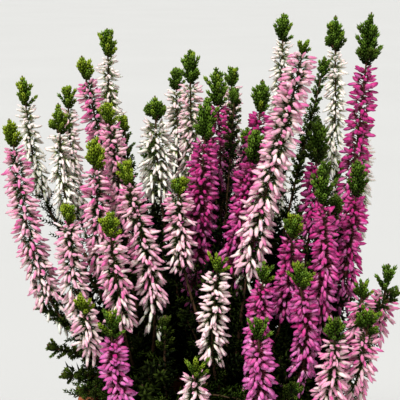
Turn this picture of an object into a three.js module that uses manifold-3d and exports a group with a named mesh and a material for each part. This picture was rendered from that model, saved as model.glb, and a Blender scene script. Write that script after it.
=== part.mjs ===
// Potted heather: a clay pot filled with soil, and eleven rooted heather plants that grow out of it as one
// bush of pink, white and magenta flower spikes with leafy green tips.
//
// Millimetres, +Z up. The origin is the centre of the pot's base, on the pot's axis. -Y is the front.
import * as THREE from 'three';
import Module from 'manifold-3d';

// ---------------------------------------------------------------- driving dimensions
const GAP = 0.3; // clearance between pieces that touch in the real thing

const POT = {
  height: 110,
  baseRadius: 41,
  rimRadius: 60,
  rimDepth: 24, // height of the collar round the top
  rimStep: 3.5, // how far the collar stands out of the wall
  rimSlope: 1, // how much narrower the collar is at its lower edge
  wall: 5,
  floor: 6,
  chamfer: 1.2,
  sides: 24,
};
const DRAIN = { count: 4, radius: 4.5, circle: 24, sides: 6 }; // the holes through the pot's floor
// The soil's rim lies edge below its top, and its middle mounds up again.
const SOIL = { top: 97, edge: 2, mound: 4, crumb: 1.8, rings: 3 };
const TRUNK = { radius: 3.4, neck: 2.2, depth: 12, height: 13, sides: 6, stemsFrom: 0.35, stemsTo: 0.85 };

// Stems are three-sided, and a radius is that of the circle through their corners.
const STEM = { radius: 0.9, root: 1.5, end: 0.65, upturn: 0.35 };
const BORE = 0.6; // what the bore of a sleeve of flowers adds to the stem's radius
// The core that a spike's florets stand out of.
const SLEEVE = { core: 3.5, end: 2.6, pitch: 5.2, inset: 1.6, boreStep: 20 };
// Florets reach furthest in the middle of a spike, hang at its foot and point up at its top.
const FLORET = { reach: 0.8, middle: 0.9, taper: 0.12, hang: 3, rise: 5.2 };
const LEAF = { pitch: 5.8, reach: 4.1, lift: 3.2, taper: 0.3 }; // the close leaves of the green tips
const WHORL = { pitch: 13.8, height: 4.6, reach: 6.8, lift: 5.2 }; // the threes of leaves lower down
const UNEVEN = { reach: 0.12, lift: 0.5 }; // how much florets and leaves differ from each other
const FOOT_GAP = 3.2; // bare stem between the last leaves and the flowers
const LEAFY_FROM = 0.62; // leaves start this far along the part of a stem below its flowers
// The side tips at the top of some spikes.
const FORK = { above: 0.02, length: 9, spread: 0.75, rise: 1.5, foot: 0.4, radius: 0.75, reach: 3.1 };
// Where a leafy shoot bends to its own line, how far it arches up there, and its bare top.
const SHOOT = { foot: 0.6, rise: 7, leafyFrom: 0.55, end: 6 };

// How spikes are moved apart: weights are how freely they move in x, y and z.
const SPREAD = { rounds: 80, step: 0.2, clear: 0.7, weights: [0.5, 1, 0.3] };

const SEEDS = { soil: 7, spikes: 21, leaves: 5 };
const COLOUR = { pink: '#d98bb4', white: '#ece6dc', magenta: '#b8287f', leaf: '#3d5f24' };

// Each plant: its colour, where it is rooted in the soil, its flower spikes and its leafy shoots.
// A spike's row: its tip, the foot of its flowers, the length of its green tip, the radius of its flowers,
// and the number of side tips. A shoot's row is its tip.
const PLANTS = {
  pink_left: {
    flower: 'pink',
    root: [-27, -13],
    spikes: [
      [[-87, -5, 243], [-69, -18, 163], 14, 7.5, 0],
      [[-55, 4, 270], [-41, 2, 212], 12, 6.5, 0],
      [[-47, -20, 237], [-45, -24, 179], 15, 8, 1],
      [[-33, -30, 229], [-18, -30, 167], 12, 8, 0],
      [[-58, -32, 211], [-53, -32, 163], 10, 7.5, 1],
      [[-40, -46, 210], [-35, -42, 160], 12, 8, 0],
      [[-50, -60, 177], [-44, -51, 147], 10, 7, 0],
      [[-44, -10, 251], [-36, -10, 196], 11, 6.5, 0],
    ],
    shoots: [[-68, -40, 150], [-61, -49, 140], [-76, -10, 160], [-37, 2, 244]],
  },
  white_left: {
    flower: 'white',
    root: [-24, 14],
    spikes: [
      [[-83, 14, 260], [-72, 9, 206], 15, 6, 0],
      [[-68, 10, 248], [-65, 5, 198], 15, 8, 1],
      [[-45, 22, 281], [-43, 18, 220], 14, 6, 0],
      [[-66, 38, 253], [-60, 30, 190], 12, 7, 0],
      [[-46, 50, 252], [-40, 42, 192], 12, 8, 1],
    ],
    shoots: [[-77, 22, 158], [-64, 44, 146], [-50, 28, 160]],
  },
  white_centre: {
    flower: 'white',
    root: [-3, 22],
    spikes: [
      [[-7, 26, 271], [-6, 20, 210], 17, 7.5, 1],
      [[-23, 4, 252], [-22, 2, 207], 12, 8.5, 2],
      [[13, 36, 262], [10, 28, 210], 10, 6, 0],
      [[-14, 46, 261], [-12, 40, 203], 12, 8, 0],
      [[-28, 66, 222], [-22, 52, 165], 12, 8, 0],
    ],
    shoots: [[-42, 62, 150], [-4, 8, 214], [-20, 20, 160]],
  },
  magenta_centre: {
    flower: 'magenta',
    root: [4, -3],
    spikes: [
      [[1, -8, 253], [-2, -14, 166], 21, 8, 1],
      [[5, 14, 264], [7, 8, 214], 19, 6.5, 0],
      [[26, 8, 259], [21, 0, 212], 16, 6, 0],
      [[23, -12, 239], [13, -16, 177], 16, 8, 0],
    ],
    shoots: [[-10, -24, 160], [13, -6, 257], [22, -4, 160]],
  },
  pink_front: {
    flower: 'pink',
    root: [12, -27],
    spikes: [
      [[42, -22, 277], [23, -30, 180], 5, 9.5, 0],
      [[-13, -25, 220], [-14, -27, 180], 8, 7.5, 1],
      [[5, -54, 193], [3, -49, 147], 8, 7, 0],
      [[-4, -70, 154], [-3, -55, 125], 10, 7, 0],
    ],
    shoots: [[10, -66, 130]],
  },
  white_right: {
    flower: 'white',
    root: [24, 21],
    spikes: [
      [[36, 22, 288], [34, 18, 226], 14, 5.5, 0],
      [[62, 40, 286], [60, 32, 213], 18, 6, 1],
      [[76, 34, 236], [70, 24, 180], 10, 6.5, 0],
      [[40, 56, 244], [34, 47, 184], 12, 8, 0],
      [[68, 56, 214], [56, 46, 162], 12, 8, 0],
    ],
    shoots: [[54, 8, 269], [76, 44, 154], [74, 20, 158], [46, 30, 160]],
  },
  magenta_right: {
    flower: 'magenta',
    root: [38, 2],
    spikes: [
      [[74, 6, 289], [62, -6, 187], 25, 8.7, 1],
      [[50, -10, 244], [47, -14, 192], 21, 7, 1],
      [[50, -30, 230], [47, -32, 164], 20, 7.5, 0],
      [[67, -14, 226], [60, -18, 166], 17, 8, 1],
    ],
    shoots: [[53, -36, 212], [60, 8, 150]],
  },
  pink_right: {
    flower: 'pink',
    root: [37, -18],
    spikes: [
      [[80, -24, 181], [73, -23, 147], 14, 7, 0],
      [[67, -40, 178], [64, -36, 147], 8, 6, 0],
      [[68, -56, 171], [57, -48, 128], 12, 8, 1],
      [[51, -68, 171], [48, -55, 129], 11, 8, 1],
    ],
    shoots: [[84, -30, 172], [76, -2, 140]],
  },
  magenta_front: {
    flower: 'magenta',
    root: [19, -36],
    spikes: [
      [[38, -36, 208], [33, -38, 161], 12, 7, 0],
      [[27, -50, 188], [26, -46, 142], 9, 7, 0],
      [[36, -52, 190], [36, -48, 142], 12, 8, 1],
      [[21, -68, 171], [19, -57, 130], 11, 8.5, 0],
    ],
    shoots: [[45, -62, 140]],
  },
  magenta_left: {
    flower: 'magenta',
    root: [-18, -37],
    spikes: [[[-41, -63, 174], [-32, -53, 126], 13, 8.5, 0]],
    shoots: [[-54, -55, 136], [-22, -66, 132], [-17, -46, 165]],
  },
  pink_back: {
    flower: 'pink',
    root: [2, 41],
    spikes: [
      [[-3, 72, 215], [-3, 60, 160], 12, 8, 0],
      [[22, 72, 228], [17, 61, 170], 12, 8, 0],
      [[50, 70, 188], [40, 57, 145], 10, 8, 0],
    ],
    shoots: [[-48, 66, 170], [-20, 76, 150], [18, 80, 146], [62, 54, 140]],
  },
};

// ---------------------------------------------------------------- seeded random numbers
function randomNumbers(seed) {
  let state = seed >>> 0;
  return () => {
    state = (Math.imul(state, 1664525) + 1013904223) >>> 0;
    return state / 4294967296;
  };
}

// ---------------------------------------------------------------- closed skins, built triangle by triangle
class Skin {
  constructor() {
    this.points = [];
    this.faces = [];
  }

  ring(points) {
    return points.map((point) => this.points.push(point) - 1);
  }

  // Faces up the side from one ring to the next. lay(a, b, c, upright) puts down each triangle.
  band(low, high, lay, shift = 0) {
    const n = low.length;
    for (let i = 0; i < n; i++) {
      const next = (i + 1) % n;
      const above = high[(i + shift) % n];
      lay(low[i], low[next], above, true);
      lay(above, low[next], high[(i + shift + 1) % n], false);
    }
  }

  // Plain bands through a list of rings, facing out, or in where they line a bore.
  walls(rings, inward = false) {
    for (let i = 0; i < rings.length - 1; i++) {
      this.band(rings[i], rings[i + 1], (a, b, c) => (inward ? this.face(a, c, b) : this.face(a, b, c)));
    }
  }

  face(a, b, c) {
    this.faces.push(a, b, c);
  }

  // A triangle drawn out into a three-sided point.
  raise(a, b, c, apex) {
    const [top] = this.ring([apex]);
    this.face(a, b, top);
    this.face(b, c, top);
    this.face(c, a, top);
  }

  cap(ring, up) {
    for (let i = 1; i < ring.length - 1; i++) {
      if (up) this.face(ring[0], ring[i], ring[i + 1]);
      else this.face(ring[0], ring[i + 1], ring[i]);
    }
  }

  middle(...corners) {
    const sum = new THREE.Vector3();
    for (const corner of corners) sum.add(this.points[corner]);
    return sum.divideScalar(corners.length);
  }

  geometry() {
    const geometry = new THREE.BufferGeometry();
    const flat = this.points.flatMap((p) => [p.x, p.y, p.z]);
    geometry.setAttribute('position', new THREE.Float32BufferAttribute(flat, 3));
    geometry.setIndex(this.faces);
    return geometry;
  }
}

// ---------------------------------------------------------------- joining and cutting
const wasm = await Module();
wasm.setup();

function solid(geometry) {
  const vertProperties = Float32Array.from(geometry.attributes.position.array);
  const triVerts = Uint32Array.from(geometry.index.array);
  return new wasm.Manifold(new wasm.Mesh({ numProp: 3, vertProperties, triVerts }));
}

function geometryOf(body) {
  const mesh = body.getMesh();
  const geometry = new THREE.BufferGeometry();
  geometry.setAttribute('position', new THREE.BufferAttribute(mesh.vertProperties, 3));
  geometry.setIndex(new THREE.BufferAttribute(mesh.triVerts, 1));
  return geometry;
}

// The largest closed surface of a joined body: a sealed hollow is filled, and a loose scrap is dropped.
function largestBody(body) {
  return body.decompose().reduce((largest, piece) => (piece.volume() > largest.volume() ? piece : largest));
}

// ---------------------------------------------------------------- stems
// A stem runs from its root to the foot of its flowers (at = 0 to 1) and on to its tip (at = 1 to 2), as two
// cubic curves that meet smoothly at the foot.
const UP = new THREE.Vector3(0, 0, 1);

function toward(from, to) {
  return to.clone().sub(from).normalize();
}

function stemPoint(spike, at) {
  const { root, foot, tip } = spike;
  const low = toward(root, foot);
  const high = toward(foot, tip);
  const leaving = low.clone().add(UP).normalize();
  const passing = low.clone().add(high).normalize();
  const ending = high.clone().addScaledVector(UP, STEM.upturn).normalize();
  const [from, to, start, end] = at < 1 ? [root, foot, leaving, passing] : [foot, tip, passing, ending];
  const t = at < 1 ? at : at - 1;
  const length = from.distanceTo(to);
  return from.clone().multiplyScalar((1 + 2 * t) * (1 - t) ** 2)
    .addScaledVector(to, t * t * (3 - 2 * t))
    .addScaledVector(start, length * t * (1 - t) ** 2)
    .addScaledVector(end, length * t * t * (t - 1));
}

// How far along a flowering stem its flowers end and its green tip starts.
function topOfFlowers({ foot, tip, green }) {
  return 2 - green / foot.distanceTo(tip);
}

// The frame across a stem: its direction, and two directions at right angles to it.
function frameAt(spike, at) {
  const before = stemPoint(spike, Math.max(at - 0.01, 0));
  const after = stemPoint(spike, Math.min(at + 0.01, 2));
  const along = toward(before, after);
  const side = new THREE.Vector3(1, 0, 0).addScaledVector(along, -along.x).normalize();
  return { centre: stemPoint(spike, at), along, side, other: along.clone().cross(side) };
}

// Three points round a stem. turned rings are half a step round from the others.
function ringPoints(frame, radius, turned) {
  return [0, 1, 2].map((i) => {
    const angle = ((2 * i + (turned ? 1 : 0)) * Math.PI) / 3;
    return frame.centre.clone()
      .addScaledVector(frame.side, radius * Math.cos(angle))
      .addScaledVector(frame.other, radius * Math.sin(angle));
  });
}

// Lays a band whose triangles are drawn out into leaves or florets: all of them, or half. reach is how far an
// end is from the stem's axis, and lift is how far it points up along the stem.
function pointedBand(skin, [low, high], frames, { reach, lift, half }, random, shift) {
  const centre = frames[0].centre.clone().lerp(frames[1].centre, 0.5);
  const { along } = frames[0];
  skin.band(low, high, (a, b, c, upright) => {
    if (half && !upright) {
      skin.face(a, b, c);
      return;
    }
    const middle = skin.middle(a, b, c);
    const out = middle.clone().sub(centre);
    const height = out.dot(along);
    out.addScaledVector(along, -height).normalize();
    const apex = centre.clone()
      .addScaledVector(out, reach * (1 + UNEVEN.reach * (2 * random() - 1)))
      .addScaledVector(along, height + lift + UNEVEN.lift * (2 * random() - 1));
    skin.raise(a, b, c, apex);
  }, shift);
}

// The places along a stem where its rings lie, with each ring's radius, and what the band above it carries.
function stemRings(spike) {
  const { root, foot, tip, green, flowered } = spike;
  const low = root.distanceTo(foot);
  const high = foot.distanceTo(tip);
  const rings = [{ at: 0, radius: STEM.root }];
  let turned = false;
  const addWhorls = (from, to, length) => {
    const count = Math.max(1, Math.round(length / WHORL.pitch));
    const step = (to - from) / count;
    for (let i = 0; i < count; i++) {
      rings.push({ at: from + step * i, radius: STEM.radius, leaves: 'whorl', turned });
      turned = !turned;
      rings.push({ at: from + step * (i + WHORL.height / WHORL.pitch), radius: STEM.radius, turned });
    }
  };
  if (flowered) {
    const lowEnd = 1 - FOOT_GAP / low;
    const flowersEnd = topOfFlowers(spike);
    addWhorls(LEAFY_FROM, lowEnd, (lowEnd - LEAFY_FROM) * low);
    const steps = Math.max(2, Math.round(((flowersEnd - 1) * high) / SLEEVE.boreStep));
    for (let i = 0; i <= steps; i++) {
      const at = 1 + ((flowersEnd - 1) * i) / steps;
      rings.push({ at, radius: STEM.radius, turned, sleeved: i < steps, leaves: i === steps ? 'all' : null });
    }
    const tipSteps = Math.max(2, Math.round(green / LEAF.pitch));
    for (let i = 1; i < tipSteps; i++) {
      const share = i / tipSteps;
      turned = !turned;
      const radius = STEM.radius + (STEM.end - STEM.radius) * share;
      const reach = LEAF.reach * (1 - LEAF.taper * share);
      rings.push({ at: flowersEnd + (2 - flowersEnd) * share, radius, leaves: 'all', reach, turned });
    }
  } else {
    addWhorls(SHOOT.leafyFrom, 1, (1 - SHOOT.leafyFrom) * low);
    addWhorls(1, 2 - SHOOT.end / high, high - SHOOT.end);
    turned = !turned;
    rings.push({ at: 2 - SHOOT.end / high, radius: STEM.end, leaves: 'all', turned });
  }
  return rings;
}

function stemSkin(spike, rings, random) {
  const skin = new Skin();
  const frames = rings.map((ring) => frameAt(spike, ring.at));
  const loops = rings.map((ring, i) => skin.ring(ringPoints(frames[i], ring.radius, ring.turned)));
  skin.cap(loops[0], false);
  for (let i = 0; i < rings.length - 1; i++) {
    const { leaves, turned, reach } = rings[i];
    const shift = turned && !rings[i + 1].turned ? 1 : 0;
    const shape = leaves === 'whorl'
      ? { reach: WHORL.reach, lift: WHORL.lift, half: true }
      : { reach: reach ?? LEAF.reach, lift: LEAF.lift };
    if (leaves) pointedBand(skin, [loops[i], loops[i + 1]], [frames[i], frames[i + 1]], shape, random, shift);
    else skin.band(loops[i], loops[i + 1], (a, b, c) => skin.face(a, b, c), shift);
  }
  const [top] = skin.ring([spike.tip]);
  const last = loops.at(-1);
  last.forEach((a, i) => skin.face(a, last[(i + 1) % 3], top));
  return skin;
}

// ---------------------------------------------------------------- flower sleeves
// The florets of one spike: a hollow core round the stem, every facet of it drawn out into a floret.
function sleeveSkin(spike, rings, random) {
  const skin = new Skin();
  const first = rings.findIndex((ring) => ring.sleeved);
  const sleeved = rings.slice(first, rings.findLastIndex((ring) => ring.sleeved) + 2);
  const turned = sleeved[0].turned;
  const frames = sleeved.map((ring) => frameAt(spike, ring.at));
  const bore = sleeved.map((ring, i) => ringPoints(frames[i], ring.radius + BORE, turned));
  const length = spike.foot.distanceTo(spike.tip);
  const inset = (sleeved.length - 1) * SLEEVE.inset / ((sleeved.at(-1).at - 1) * length);
  const bottom = bore[0].map((point, i) => point.clone().lerp(bore[1][i], inset));
  const top = bore.at(-1).map((point, i) => point.clone().lerp(bore.at(-2)[i], inset));
  bore[0] = bottom;
  bore[bore.length - 1] = top;
  const inner = bore.map((points) => skin.ring(points));

  const start = 1 + SLEEVE.inset / length;
  const end = sleeved.at(-1).at - SLEEVE.inset / length;
  const steps = 2 * Math.max(1, Math.round(((end - start) * length) / SLEEVE.pitch / 2));
  const outerFrames = [];
  const outer = [];
  for (let i = 0; i <= steps; i++) {
    const frame = frameAt(spike, start + ((end - start) * i) / steps);
    const atEnd = i === 0 || i === steps;
    if (atEnd) frame.centre = skin.middle(...(i === 0 ? inner[0] : inner.at(-1)));
    outerFrames.push(frame);
    outer.push(skin.ring(ringPoints(frame, atEnd ? SLEEVE.end : SLEEVE.core, turned !== (i % 2 === 1))));
  }
  for (let i = 0; i < steps; i++) {
    const share = (i + 0.5) / steps;
    const shape = {
      reach: spike.reach * (FLORET.reach + FLORET.middle * share * (1 - share) - FLORET.taper * share),
      lift: FLORET.rise * share - FLORET.hang,
    };
    const shift = turned !== (i % 2 === 1) ? 1 : 0;
    pointedBand(skin, [outer[i], outer[i + 1]], [outerFrames[i], outerFrames[i + 1]], shape, random, shift);
  }
  skin.walls(inner, true);
  skin.band(outer[0], inner[0], (a, b, c) => skin.face(a, c, b));
  skin.band(outer.at(-1), inner.at(-1), (a, b, c) => skin.face(a, b, c));
  return skin;
}

// ---------------------------------------------------------------- keeping the spikes apart
// Spikes whose flowers would cross are moved apart a little at a time, mostly front to back.
const SAMPLES = [0.3, 0.45, 0.6, 0.75, 0.9, 1, 1.15, 1.3, 1.45, 1.6, 1.75, 1.9, 2];

function sampleReach(spike, at) {
  if (!spike.flowered || at > topOfFlowers(spike)) {
    return at < LEAFY_FROM ? STEM.radius : LEAF.reach;
  }
  if (at >= 1) return spike.reach;
  return at < LEAFY_FROM ? STEM.radius : WHORL.reach;
}

function spread(spikes) {
  const pairs = [];
  spikes.forEach((a, i) => spikes.slice(i + 1).forEach((b) => pairs.push([a, b])));
  for (let round = 0; round < SPREAD.rounds; round++) {
    for (const spike of spikes) {
      spike.samples = SAMPLES.map((at) => {
        const inFlowers = spike.flowered && at >= 1 && at <= topOfFlowers(spike);
        return { at, point: stemPoint(spike, at), reach: sampleReach(spike, at), inFlowers };
      });
      spike.footMove = new THREE.Vector3();
      spike.tipMove = new THREE.Vector3();
    }
    for (const [a, b] of pairs) {
      for (const p of a.samples) {
        for (const q of b.samples) {
          if (a.plant === b.plant && !p.inFlowers && !q.inFlowers) continue;
          const apart = p.point.clone().sub(q.point);
          const distance = apart.length();
          const lacking = p.reach + q.reach + SPREAD.clear - distance;
          if (lacking <= 0) continue;
          apart.multiplyScalar((SPREAD.step * lacking) / distance);
          for (const [spike, at, sign] of [[a, p.at, 1], [b, q.at, -1]]) {
            spike.footMove.addScaledVector(apart, sign * (at < 1 ? at : 2 - at));
            spike.tipMove.addScaledVector(apart, sign * Math.max(0, at - 1));
          }
        }
      }
    }
    const weights = new THREE.Vector3(...SPREAD.weights);
    for (const spike of spikes) {
      spike.foot.add(spike.footMove.multiply(weights));
      spike.tip.add(spike.tipMove.multiply(weights));
    }
  }
}

// ---------------------------------------------------------------- the pot and the soil
function potRadius(z) {
  return POT.baseRadius + ((POT.rimRadius - POT.rimStep - POT.baseRadius) * z) / POT.height;
}

function circle(radius, height, sides) {
  return Array.from({ length: sides }, (_, i) => {
    const angle = (2 * Math.PI * i) / sides;
    return new THREE.Vector3(radius * Math.cos(angle), radius * Math.sin(angle), height(i));
  });
}

function makePot() {
  const { height, rimRadius, rimDepth, rimSlope, wall, floor, chamfer, sides } = POT;
  const collar = height - rimDepth;
  const profile = [
    [potRadius(0) - chamfer, 0],
    [potRadius(chamfer), chamfer],
    [potRadius(collar), collar],
    [rimRadius - rimSlope, collar + chamfer],
    [rimRadius, height - chamfer],
    [rimRadius - chamfer, height],
    [rimRadius - wall + chamfer, height],
    [potRadius(height) - wall, height - 2 * chamfer],
    [potRadius(floor) - wall, floor],
  ];
  const skin = new Skin();
  const loops = profile.map(([radius, z]) => skin.ring(circle(radius, () => z, sides)));
  skin.cap(loops[0], false);
  skin.walls(loops);
  skin.cap(loops.at(-1), true);
  let body = solid(skin.geometry());
  for (let i = 0; i < DRAIN.count; i++) {
    const angle = (2 * Math.PI * (i + 0.5)) / DRAIN.count;
    const centre = [DRAIN.circle * Math.cos(angle), DRAIN.circle * Math.sin(angle)];
    body = body.subtract(prism(centre, [DRAIN.radius, -floor], [DRAIN.radius, 2 * floor], DRAIN.sides));
  }
  return geometryOf(body);
}

// The soil, in one piece, with a plain hole for each plant's trunk.
function makeSoil(roots) {
  const random = randomNumbers(SEEDS.soil);
  const skin = new Skin();
  const floor = POT.floor + GAP;
  const edge = SOIL.top - SOIL.edge;
  const inside = (z) => potRadius(z) - POT.wall - 2 * GAP;
  const loops = [[inside(floor), floor], [inside(edge), edge]]
    .map(([radius, z]) => skin.ring(circle(radius, () => z, POT.sides)));
  for (let ring = 1; ring < SOIL.rings; ring++) {
    const share = 1 - ring / SOIL.rings;
    const rise = SOIL.mound * (1 - share ** 2);
    loops.push(skin.ring(circle(inside(edge) * share, () => edge + rise + SOIL.crumb * random(), POT.sides)));
  }
  skin.cap(loops[0], false);
  skin.walls(loops);
  const [middle] = skin.ring([new THREE.Vector3(0, 0, edge + SOIL.mound)]);
  loops.at(-1).forEach((a, i, last) => skin.face(a, last[(i + 1) % last.length], middle));
  let body = solid(skin.geometry());
  const depth = TRUNK.depth + GAP;
  const radius = TRUNK.radius + GAP;
  for (const root of roots) {
    body = body.subtract(prism(root, [radius, SOIL.top - depth], [radius, SOIL.top + depth], TRUNK.sides));
  }
  return geometryOf(body);
}

// An upright prism or cone, from its lower radius and height to its upper ones.
function prism([x, y], low, high, sides) {
  const skin = new Skin();
  const loops = [low, high].map(([radius, z]) => {
    const points = circle(radius, () => z, sides);
    return skin.ring(points.map((point) => point.add(new THREE.Vector3(x, y, 0))));
  });
  skin.cap(loops[0], false);
  skin.walls(loops);
  skin.cap(loops[1], true);
  return solid(skin.geometry());
}

// ---------------------------------------------------------------- the plants
// A side tip: a short leafy shoot that leaves the stem just above its flowers.
function forkSkin(spike, index, random) {
  const start = frameAt(spike, topOfFlowers(spike) + FORK.above);
  const angle = spike.forkAngle + index * Math.PI;
  const away = new THREE.Vector3();
  away.addScaledVector(start.side, Math.cos(angle)).addScaledVector(start.other, Math.sin(angle));
  const root = start.centre;
  const along = start.along.clone().addScaledVector(away, FORK.spread).normalize();
  const tip = root.clone().addScaledVector(along, FORK.length).addScaledVector(UP, FORK.rise);
  const foot = root.clone().lerp(tip, FORK.foot);
  const { radius, reach } = FORK;
  const rings = [
    { at: 0, radius },
    { at: 1, radius, reach, leaves: 'all' },
    { at: 1.5, radius, reach, leaves: 'all', turned: true },
  ];
  return stemSkin({ root, foot, tip }, rings, random);
}

// The woody base that a plant's stems branch from, standing in its hole in the soil.
function trunk(root) {
  const low = [TRUNK.radius, SOIL.top - TRUNK.depth];
  const high = [TRUNK.neck, SOIL.top + TRUNK.height];
  return prism(root, low, high, TRUNK.sides);
}

function makeSpikes() {
  const random = randomNumbers(SEEDS.spikes);
  const spikes = [];
  for (const [plant, { flower, root: [x, y], spikes: rows, shoots }] of Object.entries(PLANTS)) {
    const root = () => {
      const share = TRUNK.stemsFrom + (TRUNK.stemsTo - TRUNK.stemsFrom) * random();
      return new THREE.Vector3(x, y, SOIL.top + TRUNK.height * share);
    };
    for (const [tip, foot, green, reach, forks] of rows) {
      const forkAngle = 2 * Math.PI * random();
      const ends = { root: root(), foot: new THREE.Vector3(...foot), tip: new THREE.Vector3(...tip) };
      spikes.push({ plant, flower, flowered: true, ...ends, green, reach, forks, forkAngle });
    }
    for (const end of shoots) {
      const ends = { root: root(), tip: new THREE.Vector3(...end) };
      const foot = ends.root.clone().lerp(ends.tip, SHOOT.foot).addScaledVector(UP, SHOOT.rise);
      spikes.push({ plant, flower, flowered: false, ...ends, foot, green: 0, forks: 0 });
    }
  }
  return spikes;
}

function mesh(name, geometry, color, roughness) {
  const made = new THREE.Mesh(geometry, new THREE.MeshStandardMaterial({ color, roughness, metalness: 0 }));
  made.name = name;
  return made;
}

function pottedHeather() {
  const group = new THREE.Group();
  const roots = Object.values(PLANTS).map(({ root }) => root);
  group.add(mesh('pot', makePot(), '#b5694a', 0.85));
  group.add(mesh('soil', makeSoil(roots), '#33261d', 0.95));
  const spikes = makeSpikes();
  spread(spikes);
  const random = randomNumbers(SEEDS.leaves);
  for (const [plant, { flower, root }] of Object.entries(PLANTS)) {
    let stems = trunk(root);
    let count = 0;
    for (const spike of spikes.filter((candidate) => candidate.plant === plant)) {
      const rings = stemRings(spike);
      stems = stems.add(solid(stemSkin(spike, rings, random).geometry()));
      for (let i = 0; i < spike.forks; i++) stems = stems.add(solid(forkSkin(spike, i, random).geometry()));
      if (!spike.flowered) continue;
      count += 1;
      const sleeve = sleeveSkin(spike, rings, random).geometry();
      group.add(mesh(`${plant}_flowers_${count}`, sleeve, COLOUR[flower], 0.7));
    }
    group.add(mesh(`${plant}_stems`, geometryOf(largestBody(stems)), COLOUR.leaf, 0.75));
  }
  return group;
}

export default pottedHeather();
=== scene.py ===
import math
from types import SimpleNamespace as Values

import bpy
import numpy as np
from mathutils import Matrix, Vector
from numpy.linalg import norm


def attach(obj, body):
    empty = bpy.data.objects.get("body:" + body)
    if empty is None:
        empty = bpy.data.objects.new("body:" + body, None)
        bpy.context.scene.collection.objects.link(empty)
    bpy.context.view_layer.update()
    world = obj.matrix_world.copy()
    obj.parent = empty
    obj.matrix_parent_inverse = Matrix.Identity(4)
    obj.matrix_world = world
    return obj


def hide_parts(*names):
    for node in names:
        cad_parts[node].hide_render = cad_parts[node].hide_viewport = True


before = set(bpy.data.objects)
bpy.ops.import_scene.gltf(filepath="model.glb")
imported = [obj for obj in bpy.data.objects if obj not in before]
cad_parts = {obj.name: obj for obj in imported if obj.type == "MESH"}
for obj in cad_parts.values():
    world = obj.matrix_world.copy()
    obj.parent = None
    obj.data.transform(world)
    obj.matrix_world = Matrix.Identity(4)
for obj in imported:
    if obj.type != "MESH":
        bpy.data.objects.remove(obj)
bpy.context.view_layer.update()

# Potted heather: eleven heather plants in one clay pot. Shapes are worked out in millimetres in the part's
# own frame, with Z up and -Y the front, and MM turns them into metres where a mesh is written.
MM = 0.001
UP = np.array([0.0, 0.0, 1.0])
RIGHT = np.array([1.0, 0.0, 0.0])
TURN = 2 * math.pi
GOLDEN = math.pi * (3 - math.sqrt(5))  # from one bud or side shoot to the next up a stem
SEED = Values(spikes=21, plants=17, pot=3, soil=9)

# ---- driving dimensions, as in the part's source
# A place on a stem runs from 0 at its root to 1 at the foot of its flowers and 2 at its tip.
POT = Values(height=110, base=41, rim=60, collar=24, step=3.5, slope=1, wall=5, floor=6)
DRAIN = Values(count=4, radius=4.5, circle=24)
SOIL = Values(top=97, edge=2, mound=4)
TRUNK = Values(radius=3.4, neck=2.2, depth=12, height=13, stems=[0.35, 0.85])
STEM = Values(radius=0.9, upturn=0.35)
LEAVES_OUT = Values(start=0.62, top=4.1, whorls=6.8)  # where they start, and how far they reach
SIDE_TIP = Values(above=0.02, length=9, spread=0.75, rise=1.5, foot=0.4)  # on some flower spikes
SHOOT = Values(foot=0.6, rise=7)  # where the upper half of a leafy shoot starts
SPREAD = Values(rounds=80, step=0.2, clear=0.7, weights=np.array([0.5, 1, 0.3]))
SAMPLES = np.array([0.3, 0.45, 0.6, 0.75, 0.9, 1, 1.15, 1.3, 1.45, 1.6, 1.75, 1.9, 2])

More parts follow.
